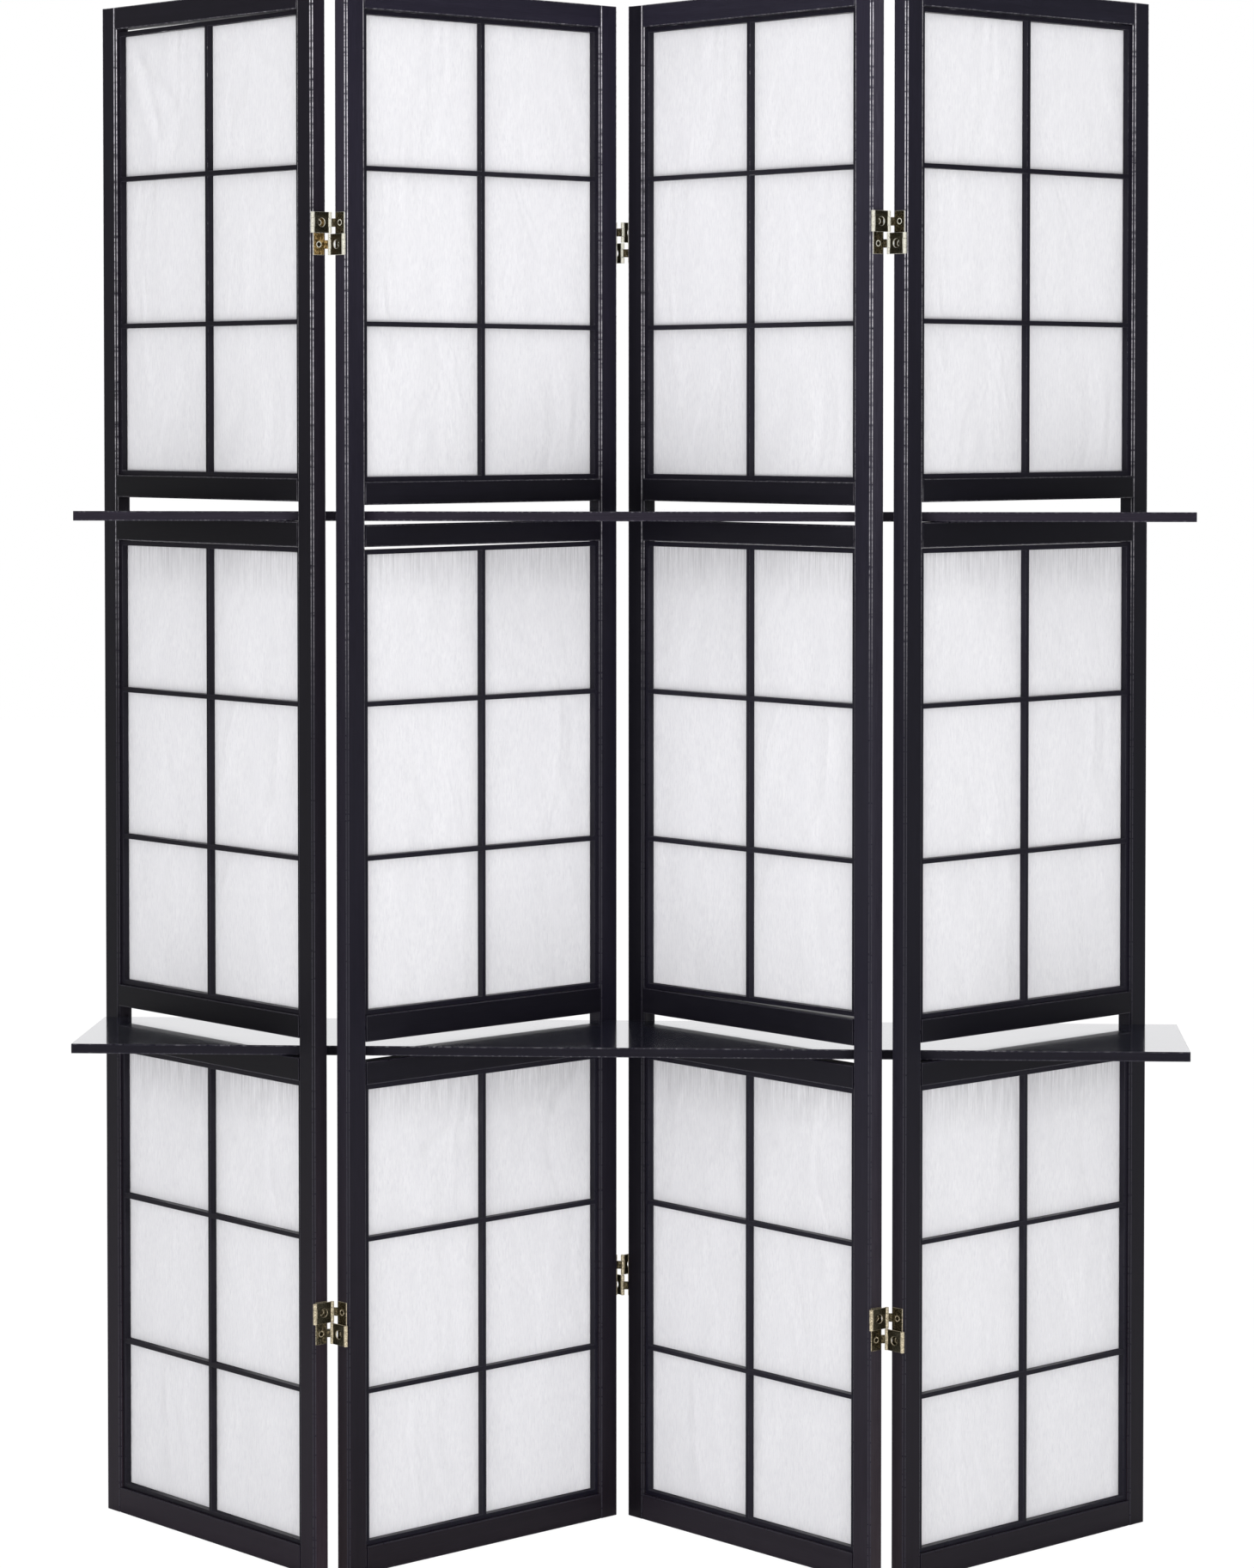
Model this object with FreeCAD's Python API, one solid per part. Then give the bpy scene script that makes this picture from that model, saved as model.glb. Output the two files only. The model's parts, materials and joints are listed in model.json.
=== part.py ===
"""Four-panel folding screen with paper behind wooden lattices and two shelf boards.

The panels stand in a zigzag. Each one is a frame of two stiles and six rails that holds three
lattice inserts with paper behind them, and leaves two slots through which the long shelf boards
pass. Neighbouring panels are joined by two double-action hinges: two leaves on the stile edges
and two half-height links between them, on four short pins.

Lengths are in millimetres and angles in degrees. In the frame of a panel x runs along its width
from the left stile, y runs from the front face to the back face and z is up.
"""
import FreeCAD, Part
import math
import os

VEC = FreeCAD.Vector
UP = VEC(0, 0, 1)
ALONG_X = VEC(1, 0, 0)
ALONG_Y = VEC(0, 1, 0)
HALF_TURN = 180.0

# The panels and the zigzag
panel_height = 1785.0
panel_width = 415.0
panel_thickness = 19.0
fold_angle = 46.4
closed_angle = 89.5

# The frame of a panel
stile_width = 28.0
stile_chamfer = 2.2
top_rail_width = 26.0
shelf_rail_width = 26.0
bottom_rail_width = 30.0
rail_chamfer = 0.8
slot_height = 22.5
slot_count = 2
tenon_length = 15.0
tenon_thickness = 8.0
tenon_shoulder = 4.0
glue_line = 0.1

# The slots lie evenly but for two things: the upper ones are a little high, and those of the two
# inner panels a little low, so that the shelves lie on the outer panels and clear of the inner ones
upper_slot_rise = 2.4
inner_slot_drop = 3.8

# The lattice inserts and their paper
lattice_bar = 5.5
lattice_depth = 8.0
lattice_recess = 4.0
lattice_columns = 2
lattice_rows = 3
insert_side_play = 0.3
insert_top_play = 0.6
insert_wedge = 2.6
paper_thickness = 0.6
paper_inset = 1.2

# The shelf boards, and how much longer they are than the standing zigzag is wide
shelf_extra_length = 27.6
shelf_depth = 227.0
shelf_thickness = 11.0
shelf_chamfer = 0.8
shelf_lift = 0.3
shelf_back_clearance = 0.8
shelf_shift = 21.5
shelf_stagger = 2.3

# The double-action hinges
hinge_height = 48.0
upper_hinge_from_top = 277.0
lower_hinge_from_floor = 286.0
axis_beyond_edge = 5.6
axis_beyond_face = 2.4
barrel_radius = 2.2
pin_radius = 1.1
pin_clearance = 0.05
pin_end_inset = 0.2
leaf_thickness = 1.2
link_thickness = 1.4
neck_thickness = 1.6
middle_knuckle_height = 9.4
knuckle_gap = 0.3
link_seam = 0.8
access_hole_radius = 5.0
screw_from_centre = 12.2
screw_head_radius = 3.4
screw_head_height = 2.0
screw_radius = 1.6
screw_length = 16.0

# The hinges are small and many, so their round parts are drawn with this many flats
barrel_sides = 10
pin_sides = 6
screw_sides = 8

# One overrun serves every cut that has to pass right through
overrun = 5.0

# Sizes that follow from the ones above
opening_width = panel_width - 2 * stile_width
slot_band = 2 * shelf_rail_width + slot_height
openings_height = panel_height - top_rail_width - bottom_rail_width - slot_count * slot_band
opening_height = openings_height / (slot_count + 1)
lower_slot = bottom_rail_width + opening_height + shelf_rail_width
middle_opening_low = lower_slot + slot_height + shelf_rail_width
middle_opening_high = middle_opening_low + opening_height
upper_slot = middle_opening_high + shelf_rail_width
hinge_levels = (lower_hinge_from_floor, panel_height - upper_hinge_from_top)
paper_front = lattice_recess + lattice_depth
half_height = (hinge_height - link_seam) / 2
half_offset = (half_height + link_seam) / 2

# Three inserts are planed out of square and show a thin wedge of light at one corner
wedge_corners = {
    ("panel_1", "top"): "top_left",
    ("panel_2", "middle"): "top_left",
    ("panel_3", "middle"): "bottom_right",
}

PANELS = ("panel_1", "panel_2", "panel_3", "panel_4")
OUTER_PANELS = (PANELS[0], PANELS[-1])
SECTIONS = ("bottom", "middle", "top")
HINGE_PAIRS = dict(zip(("left_hinge", "centre_hinge", "right_hinge"), zip(PANELS, PANELS[1:])))


def box(low, high):
    """A box between two corners, each given as (x, y, z)."""
    size = [b - a for a, b in zip(low, high)]
    return Part.makeBox(size[0], size[1], size[2], VEC(*low))


def prism(points, along):
    """A straight solid whose end face has these points and whose sides run along a vector."""
    corners = [VEC(*tuple(point)) for point in points]
    return Part.Face(Part.makePolygon(corners + corners[:1])).extrude(along)


def between(lower, upper):
    """A solid with flat sides between two rings of as many corners."""
    faces = []
    for corners in (lower, upper):
        faces.append(Part.Face(Part.makePolygon(corners + corners[:1])))
    for k in range(len(lower)):
        side = [lower[k - 1], lower[k], upper[k], upper[k - 1]]
        faces.append(Part.Face(Part.makePolygon(side + side[:1])))
    return Part.makeSolid(Part.makeShell(faces))


def chamfered_outline(low_a, high_a, low_b, high_b, cut):
    """The eight points of a rectangle with cut corners, in its own two directions."""
    return [(low_a + cut, low_b), (high_a - cut, low_b), (high_a, low_b + cut),
            (high_a, high_b - cut), (high_a - cut, high_b), (low_a + cut, high_b),
            (low_a, high_b - cut), (low_a, low_b + cut)]


def ring(radius, sides, centre, across, aside):
    """The corners of a small round outline, drawn with flats, in the plane of two directions."""
    corners = []
    for k in range(sides):
        turn = 2 * math.pi * (k + 1 / 2) / sides
        corners.append(centre + across * (radius * math.cos(turn)) + aside * (radius * math.sin(turn)))
    return corners


def around(radius, sides):
    """The corner radius at which the flats of a hole stand off by a radius."""
    return radius / math.cos(math.pi / sides)


def rod(radius, sides, axis_y, low_z, high_z):
    """An upright round rod on one of the two axes of a hinge."""
    centre = VEC(axis_beyond_edge, axis_y, low_z)
    return prism(ring(radius, sides, centre, ALONG_X, ALONG_Y), UP * (high_z - low_z))


def moved(shape, placement):
    """A copy of a shape carried to a placement."""
    copy = shape.copy()
    copy.Placement = placement.multiply(copy.Placement)
    return copy


def shifted(shape, step):
    """A copy of a shape moved by a vector."""
    return moved(shape, FreeCAD.Placement(step, FreeCAD.Rotation()))


def half_turned(shape):
    """A copy turned half a turn about the upright line through the middle of the thickness."""
    middle = VEC(0, panel_thickness / 2, 0)
    turn = FreeCAD.Placement(VEC(), FreeCAD.Rotation(UP, HALF_TURN), middle)
    return moved(shape, turn)


# Frame

def slot_levels(panel):
    """The lower edges of a panel's lower and upper slot."""
    drop = 0.0 if panel in OUTER_PANELS else inner_slot_drop
    return lower_slot - drop, upper_slot + upper_slot_rise - drop


def rail_levels(panel):
    """The lower edge and the width of every rail of a panel, from the floor up."""
    lower, upper = slot_levels(panel)
    over_lower = lower + slot_height
    return {
        "bottom": (0.0, bottom_rail_width),
        "under_lower_shelf": (lower - shelf_rail_width, shelf_rail_width),
        "over_lower_shelf": (over_lower, middle_opening_low - over_lower),
        "under_upper_shelf": (middle_opening_high, upper - middle_opening_high),
        "over_upper_shelf": (upper + slot_height, shelf_rail_width),
        "top": (panel_height - top_rail_width, top_rail_width),
    }


def opening(panel, section):
    """The lower and upper end of one of a panel's openings."""
    lower, upper = slot_levels(panel)
    if section == "bottom":
        return bottom_rail_width, lower - shelf_rail_width
    if section == "middle":
        return middle_opening_low, middle_opening_high
    return upper + slot_height + shelf_rail_width, panel_height - top_rail_width


def tenon(edge_x, towards, low, width, growth):
    """The tongue at a rail's end, or with some growth the mortise that takes it."""
    reach = edge_x + towards * (tenon_length + growth)
    middle = panel_thickness / 2
    half = tenon_thickness / 2 + growth
    return box((min(edge_x, reach), middle - half, low + tenon_shoulder - growth),
               (max(edge_x, reach), middle + half, low + width - tenon_shoulder + growth))


def rail(low, width):
    """One rail: an eased board with a tenon at each end."""
    left = stile_width
    right = panel_width - stile_width
    outline = chamfered_outline(0, panel_thickness, low, low + width, rail_chamfer)
    board = prism([(left, y, z) for y, z in outline], ALONG_X * (right - left))
    return board.fuse([tenon(left, -1, low, width, 0), tenon(right, 1, low, width, 0)]).removeSplitter()


def stile(panel, left_x, inner_x, towards):
    """One upright with cut corners and a mortise for each rail."""
    outline = chamfered_outline(left_x, left_x + stile_width, 0, panel_thickness, stile_chamfer)
    post = prism([(x, y, 0) for x, y in outline], UP * panel_height)
    rails = rail_levels(panel).values()
    return post.cut([tenon(inner_x, towards, low, width, glue_line) for low, width in rails])


# Lattice inserts and paper

def insert_outline(panel, section):
    """An insert's two ends along x and along z, and its bottom and top lines."""
    left = stile_width + insert_side_play
    right = panel_width - stile_width - insert_side_play
    low, high = opening(panel, section)
    high -= insert_top_play
    corner = wedge_corners.get((panel, section))
    drop_left = insert_wedge if corner == "top_left" else 0.0
    rise_right = insert_wedge if corner == "bottom_right" else 0.0

    def bottom_line(x):
        return low + rise_right * (x - left) / (right - left)

    def top_line(x):
        return high - drop_left * (right - x) / (right - left)

    return left, right, low, high, bottom_line, top_line


def lattice(panel, section):
    """A thin outer frame with one upright and two level bars, in one piece."""
    left, right, low, high, bottom_line, top_line = insert_outline(panel, section)
    front = lattice_recess
    depth = ALONG_Y * lattice_depth
    outline = [(left, bottom_line(left)), (right, bottom_line(right)),
               (right, top_line(right)), (left, top_line(left))]
    body = prism([(x, front, z) for x, z in outline], depth)
    cell_width = (right - left - (lattice_columns + 1) * lattice_bar) / lattice_columns
    cell_height = (high - low - (lattice_rows + 1) * lattice_bar) / lattice_rows
    cells = []
    for column in range(lattice_columns):
        x0 = left + lattice_bar + column * (cell_width + lattice_bar)
        x1 = x0 + cell_width
        for row in range(lattice_rows):
            z0 = low + lattice_bar + row * (cell_height + lattice_bar)
            z1 = z0 + cell_height
            lows = [z0, z0]
            highs = [z1, z1]
            if row == 0:
                lows = [bottom_line(x) + lattice_bar for x in (x0, x1)]
            if row == lattice_rows - 1:
                highs = [top_line(x) - lattice_bar for x in (x0, x1)]
            points = [(x0, lows[0]), (x1, lows[1]), (x1, highs[1]), (x0, highs[0])]
            cells.append(prism([(x, front - overrun, z) for x, z in points],
                               ALONG_Y * (lattice_depth + 2 * overrun)))
    return body.cut(cells)


def paper(panel, section):
    """The sheet glued to the back of an insert."""
    left, right, low, high, bottom_line, top_line = insert_outline(panel, section)
    x0 = left + paper_inset
    x1 = right - paper_inset
    points = [(x0, bottom_line(x0) + paper_inset), (x1, bottom_line(x1) + paper_inset),
              (x1, top_line(x1) - paper_inset), (x0, top_line(x0) - paper_inset)]
    return prism([(x, paper_front, z) for x, z in points], ALONG_Y * paper_thickness)


# Hinges, in a frame whose x is measured outwards from the edge of the stile

FRONT_AXIS = -axis_beyond_face
BACK_AXIS = panel_thickness + axis_beyond_face


def half_span(level, upper):
    """The lower and upper end of one half of a hinge."""
    centre = level + half_offset if upper else level - half_offset
    return centre - half_height / 2, centre + half_height / 2


def middle_span(level, upper, growth=0.0):
    """The lower and upper end of the middle knuckle in one half of a hinge."""
    low, high = half_span(level, upper)
    centre = (low + high) / 2
    reach = middle_knuckle_height / 2 + growth
    return centre - reach, centre + reach


def leaf_neck(axis_y, start_y, low, high):
    """The bent strip that carries a middle knuckle from the leaf to its pin."""
    start = VEC(leaf_thickness / 2, start_y, low)
    end = VEC(axis_beyond_edge, axis_y, low)
    side = (end - start).cross(UP).normalize() * (neck_thickness / 2)
    return prism([start + side, end + side, end - side, start - side], UP * (high - low))


def screw(level, sign):
    """A countersunk screw through the leaf into the stile."""
    top = VEC(leaf_thickness, panel_thickness / 2, level + sign * screw_from_centre)
    neck = top - ALONG_X * screw_head_height
    head = between(ring(screw_radius, screw_sides, neck, ALONG_Y, UP),
                   ring(screw_head_radius, screw_sides, top, ALONG_Y, UP))
    shank = prism(ring(screw_radius, screw_sides, neck, ALONG_Y, UP),
                  ALONG_X * (screw_head_height - screw_length))
    return head.fuse(shank).removeSplitter()


def bore(axis_y, low, high):
    """The hole for a pin, with its running clearance, cut past both ends of a knuckle."""
    radius = around(pin_radius + pin_clearance, pin_sides)
    return rod(radius, pin_sides, axis_y, low - overrun, high + overrun)


def leaf(level):
    """A full-height leaf: a plate with a middle knuckle at the front above and at the back below."""
    front = stile_chamfer
    back = panel_thickness - stile_chamfer
    low = level - hinge_height / 2
    plate = box((0, front, low), (leaf_thickness, back, low + hinge_height))
    top_low, top_high = middle_span(level, True)
    bottom_low, bottom_high = middle_span(level, False)
    inset = neck_thickness / 2
    solids = [
        leaf_neck(FRONT_AXIS, front + inset, top_low, top_high),
        rod(barrel_radius, barrel_sides, FRONT_AXIS, top_low, top_high),
        leaf_neck(BACK_AXIS, back - inset, bottom_low, bottom_high),
        rod(barrel_radius, barrel_sides, BACK_AXIS, bottom_low, bottom_high),
    ]
    holes = [bore(FRONT_AXIS, top_low, top_high), bore(BACK_AXIS, bottom_low, bottom_high)]
    holes += [screw(level, sign) for sign in (-1, 1)]
    return plate.fuse(solids).removeSplitter().cut(holes)


def link(level, upper):
    """A half-height link: a plate with two outer knuckles on each axis and a screw access hole."""
    low, high = half_span(level, upper)
    x0 = axis_beyond_edge - link_thickness / 2
    plate = box((x0, FRONT_AXIS, low), (x0 + link_thickness, BACK_AXIS, high))
    gap_low, gap_high = middle_span(level, upper, knuckle_gap)
    reach = barrel_radius + knuckle_gap
    knuckles = []
    holes = []
    for axis_y in (FRONT_AXIS, BACK_AXIS):
        knuckles.append(rod(barrel_radius, barrel_sides, axis_y, low, gap_low))
        knuckles.append(rod(barrel_radius, barrel_sides, axis_y, gap_high, high))
        holes.append(box((x0 - overrun, axis_y - reach, gap_low),
                         (x0 + link_thickness + overrun, axis_y + reach, gap_high)))
        holes.append(bore(axis_y, low, high))
    sign = 1 if upper else -1
    centre = VEC(axis_beyond_edge - overrun, panel_thickness / 2, level + sign * screw_from_centre)
    holes.append(prism(ring(access_hole_radius, barrel_sides, centre, ALONG_Y, UP), ALONG_X * 2 * overrun))
    return plate.fuse(knuckles).removeSplitter().cut(holes)


def pin(level, upper, axis_y):
    """The short pin of one half of a hinge on one of its two axes."""
    low, high = half_span(level, upper)
    return rod(pin_radius, pin_sides, axis_y, low + pin_end_inset, high - pin_end_inset)


# Where everything stands

def panel_angle(panel):
    """The turn of a panel about the upright: the first comes forward, the next goes back, and so on."""
    return fold_angle if PANELS.index(panel) % 2 else -fold_angle


def along(angle, distance, depth):
    """A step of some distance along a panel's width and some depth through its thickness."""
    turn = math.radians(angle)
    return VEC(distance * math.cos(turn) - depth * math.sin(turn),
               distance * math.sin(turn) + depth * math.cos(turn), 0)


def panel_corners():
    """The lower front left corner of every panel, with the centre hinge's front axis at zero."""
    right_edge = panel_width + axis_beyond_edge
    odd = panel_angle(PANELS[0])
    even = panel_angle(PANELS[1])
    second = along(even, -right_edge, axis_beyond_face)
    third = along(odd, axis_beyond_edge, axis_beyond_face)
    left_axis = second + along(even, -axis_beyond_edge, BACK_AXIS)
    right_axis = third + along(odd, right_edge, BACK_AXIS)
    first = left_axis - along(odd, right_edge, BACK_AXIS)
    fourth = right_axis - along(even, -axis_beyond_edge, BACK_AXIS)
    corners = dict(zip(PANELS, (first, second, third, fourth)))
    axes = {"left_hinge": left_axis, "centre_hinge": VEC(), "right_hinge": right_axis}
    return corners, axes


def zigzag_width(corners):
    """How wide the screen stands, from its left front corner to its right front corner."""
    last = PANELS[-1]
    right = corners[last] + along(panel_angle(last), panel_width, 0)
    return right.x - corners[PANELS[0]].x


def shelf_back():
    """How far in front of the centre hinge's axis the shelves end, clear of the stiles that turn."""
    return stile_width + axis_beyond_edge + shelf_back_clearance


def shelf(slot_low, length, centre_x):
    """A long board with eased edges that lies in one row of slots."""
    back = -shelf_back()
    low = slot_low + shelf_lift
    outline = chamfered_outline(back - shelf_depth, back, low, low + shelf_thickness, shelf_chamfer)
    left = centre_x - length / 2
    return prism([(left, y, z) for y, z in outline], ALONG_X * length)


def build():
    """Every node as a list of solids, in the final frame, with the hinge axes in it."""
    corners, axes = panel_corners()
    nodes = {}
    local = {panel: {} for panel in PANELS}
    right_x = panel_width - stile_width
    screws = {panel: [] for panel in PANELS}
    leaves = {}
    pins = {panel: [] for panel in PANELS}

    def on_right(shape):
        return shifted(shape, ALONG_X * panel_width)

    for pair, (left, right) in HINGE_PAIRS.items():
        leaves[(left, "right")] = [on_right(leaf(level)) for level in hinge_levels]
        leaves[(right, "left")] = [half_turned(leaf(level)) for level in hinge_levels]
        for level in hinge_levels:
            screws[left] += [on_right(screw(level, sign)) for sign in (-1, 1)]
            screws[right] += [half_turned(screw(level, sign)) for sign in (-1, 1)]
        folds_at_back = pair != "centre_hinge"
        for upper in (True, False):
            with_left = upper == folds_at_back
            name = "%s_%s_links" % (pair, "upper" if upper else "lower")
            shapes = [link(level, upper) for level in hinge_levels]
            if with_left:
                local[left][name] = [on_right(shape) for shape in shapes]
            else:
                local[right][name] = [half_turned(shape) for shape in shapes]
            still = (FRONT_AXIS, BACK_AXIS) if folds_at_back else (BACK_AXIS, FRONT_AXIS)
            for level in hinge_levels:
                if with_left:
                    pins[left].append(on_right(pin(level, upper, still[0])))
                else:
                    pins[right].append(half_turned(pin(level, upper, still[1])))
                if folds_at_back:
                    pins[right].append(half_turned(pin(level, upper, FRONT_AXIS)))

    for panel in PANELS:
        prefix = panel + "_"
        parts = local[panel]
        left_stile = stile(panel, 0, stile_width, -1)
        right_stile = stile(panel, right_x, right_x, 1)
        parts[prefix + "left_stile"] = [left_stile.cut(screws[panel])]
        parts[prefix + "right_stile"] = [right_stile.cut(screws[panel])]
        rails = {name: rail(low, width) for name, (low, width) in rail_levels(panel).items()}
        parts[prefix + "top_rail"] = [rails.pop("top")]
        parts[prefix + "bottom_rail"] = [rails.pop("bottom")]
        parts[prefix + "shelf_rails"] = list(rails.values())
        for section in SECTIONS:
            parts[prefix + "lattice_" + section] = [lattice(panel, section)]
        parts[prefix + "paper"] = [paper(panel, section) for section in SECTIONS]
        parts[prefix + "screws"] = screws[panel]
        parts[prefix + "hinge_pins"] = pins[panel]
        for side in ("left", "right"):
            if (panel, side) in leaves:
                parts[prefix + side + "_leaves"] = leaves[(panel, side)]
        place = FreeCAD.Placement(corners[panel], FreeCAD.Rotation(UP, panel_angle(panel)))
        for name, solids in parts.items():
            nodes[name] = [moved(solid, place) for solid in solids]

    to_axis = VEC(-axis_beyond_edge, -FRONT_AXIS, 0)
    nodes["centre_hinge_pins"] = [shifted(pin(level, upper, FRONT_AXIS), to_axis)
                                  for level in hinge_levels for upper in (True, False)]
    shelf_length = zigzag_width(corners) + shelf_extra_length
    lower_rest, upper_rest = slot_levels(PANELS[0])
    nodes["upper_shelf"] = [shelf(upper_rest, shelf_length, shelf_shift + shelf_stagger)]
    nodes["lower_shelf"] = [shelf(lower_rest, shelf_length, shelf_shift - shelf_stagger)]
    return nodes, axes


def centred(nodes, axes):
    """Everything moved so that the origin is on the floor under the middle of the whole screen."""
    whole = Part.makeCompound([solid for solids in nodes.values() for solid in solids]).BoundBox
    step = VEC(-whole.Center.x, -whole.Center.y, -whole.ZMin)
    return ({name: [shifted(solid, step) for solid in solids] for name, solids in nodes.items()},
            {name: axis + step for name, axis in axes.items()})


def main():
    nodes, axes = centred(*build())
    os.makedirs("parts", exist_ok=True)
    for name, solids in sorted(nodes.items()):
        shape = solids[0] if len(solids) == 1 else Part.makeCompound(solids)
        shape.exportStep(os.path.join("parts", name + ".step"))
    for name, axis in axes.items():
        print("%s axis at x %.3f y %.3f" % (name, axis.x, axis.y))
    print("each hinge closes by %.2f degrees" % (2 * (closed_angle - fold_angle)))
    print("%d nodes, %d solids" % (len(nodes), sum(len(solids) for solids in nodes.values())))


main()
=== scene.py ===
"""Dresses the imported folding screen: lacquered wood, paper sheets, brass hinges, light and camera.

Lengths are in metres. Every piece is made in the frame of its own panel, in which x runs along the
width from the left stile, y runs from the front face to the back face and z is up.
"""
import json
import math

import bmesh
import bpy
import numpy as np
from mathutils import Matrix, Vector


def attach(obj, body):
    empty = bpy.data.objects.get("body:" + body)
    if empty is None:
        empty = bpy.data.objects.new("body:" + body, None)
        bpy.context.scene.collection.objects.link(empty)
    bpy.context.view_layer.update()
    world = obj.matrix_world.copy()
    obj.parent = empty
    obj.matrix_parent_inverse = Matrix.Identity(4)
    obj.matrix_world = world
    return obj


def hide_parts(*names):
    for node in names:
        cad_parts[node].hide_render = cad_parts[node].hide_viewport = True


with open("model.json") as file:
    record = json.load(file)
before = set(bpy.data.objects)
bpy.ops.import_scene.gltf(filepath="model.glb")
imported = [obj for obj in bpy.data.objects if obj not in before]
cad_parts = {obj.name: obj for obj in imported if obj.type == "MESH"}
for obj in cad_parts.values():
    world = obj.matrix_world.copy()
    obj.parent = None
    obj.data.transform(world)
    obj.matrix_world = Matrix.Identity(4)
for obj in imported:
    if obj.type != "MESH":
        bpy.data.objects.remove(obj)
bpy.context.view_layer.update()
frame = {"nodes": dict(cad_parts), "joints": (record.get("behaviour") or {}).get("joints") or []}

MM = 0.001

# The screen, in the part's own sizes
PANELS = (1, 2, 3, 4)
PANEL_WIDTH = 415 * MM
PANEL_THICKNESS = 19 * MM
FOLD_ANGLE = math.radians(46.4)
AXIS_BEYOND_EDGE = 5.6 * MM
AXIS_BEYOND_FACE = 2.4 * MM
STILE_CHAMFER = 2.2 * MM
HINGE_LEVELS = (286 * MM, 1508 * MM)
SQUARE_ON = 0.9

# Eased edges, left by sanding and lacquer
STILE_EASE = 0.55 * MM
RAIL_EASE = 0.35 * MM
LATTICE_EASE = 0.35 * MM
SHELF_EASE = 0.4 * MM
EASE_STEPS = 3
EASE_PROFILE = 0.5
SHARPER_THAN = math.radians(25)
JOINT_DEPTH = 5 * MM
FLAT_WITHIN = math.radians(0.5)
WELD = 0.001 * MM
ALL_EDGES = -1.0
BROAD_FACES_FIRST = 100

# The camera, fitted to the photograph's 1460 by 1826 pixels
FRAME_LONG_SIDE = 1826
FOCAL_PIXELS = 5178.3
CAMERA_PLACE = (263.4 * MM, -5090.2 * MM, 1310 * MM)
CAMERA_YAW = 0.0530
CAMERA_PITCH = 0.0327
CAMERA_SHIFT = -0.145
SENSOR = 36
FARTHEST_SEEN = 100


# Places

def joint_place(name):
    """Where a joint's axis stands at rest."""
    return Vector(next(joint["pos_m"] for joint in frame["joints"] if joint["name"] == name))


def panel_turn(panel):
    """The turn of a panel at rest, to one side and the other by turns."""
    return -FOLD_ANGLE if panel % 2 else FOLD_ANGLE


def along(panel, distance, depth):
    """A step along a panel's width and through its thickness."""
    turn = Matrix.Rotation(panel_turn(panel), 3, "Z")
    return turn @ Vector((distance, depth, 0))


def panel_matrices():
    """The placement of every panel, from the places of the hinge axes."""
    right = PANEL_WIDTH + AXIS_BEYOND_EDGE
    back = PANEL_THICKNESS + AXIS_BEYOND_FACE
    corners = {
        1: joint_place("fold_panel_1") - along(1, right, back),
        2: joint_place("fold_panel_3") - along(2, right, -AXIS_BEYOND_FACE),
        3: joint_place("fold_panel_3") - along(3, -AXIS_BEYOND_EDGE, -AXIS_BEYOND_FACE),
        4: joint_place("fold_panel_4") - along(4, -AXIS_BEYOND_EDGE, back),
    }
    places = {}
    for panel, corner in corners.items():
        ground = Matrix.Translation((corner.x, corner.y, 0))
        places[panel] = ground @ Matrix.Rotation(panel_turn(panel), 4, "Z")
    return places


PANEL_PLACE = panel_matrices()
HALF_TURNED = (Matrix.Translation((0, PANEL_THICKNESS / 2, 0)) @ Matrix.Rotation(math.pi, 4, "Z")
               @ Matrix.Translation((0, -PANEL_THICKNESS / 2, 0)))


def edge_place(panel, side):
    """The frame of a stile's outer edge, whose x is measured outwards from the edge."""
    if side == "right":
        return PANEL_PLACE[panel] @ Matrix.Translation((PANEL_WIDTH, 0, 0))
    return PANEL_PLACE[panel] @ HALF_TURNED


SECTIONS = ("bottom", "middle", "top")


def sheet_corners(panel, section):
    """A sheet's four corners in its panel's frame, read from its solid."""
    node = frame["nodes"]["panel_%d_paper" % panel]
    points = [PANEL_PLACE[panel].inverted() @ vertex.co for vertex in node.data.vertices]
    points.sort(key=lambda point: point.z)
    third = len(points) // len(SECTIONS)
    index = SECTIONS.index(section)
    own = points[index * third:(index + 1) * third]
    front = min(point.y for point in own)
    middle_z = (own[0].z + own[-1].z) / 2
    middle_x = sum(point.x for point in own) / len(own)
    corner = {}
    for high in (False, True):
        for right in (False, True):
            near = [p for p in own if (p.z > middle_z) == high and (p.x > middle_x) == right]
            corner[(right, high)] = near[0]
    return corner, front


# Materials

# The slots of a piece's materials
BROAD_FACES, SMALL_EDGES, PICKED_FACES = 0, 1, 2

# The sockets of a Mix node that take and give a colour
MIX_COLOURS = (6, 7)
MIX_RESULT = 2


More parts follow.
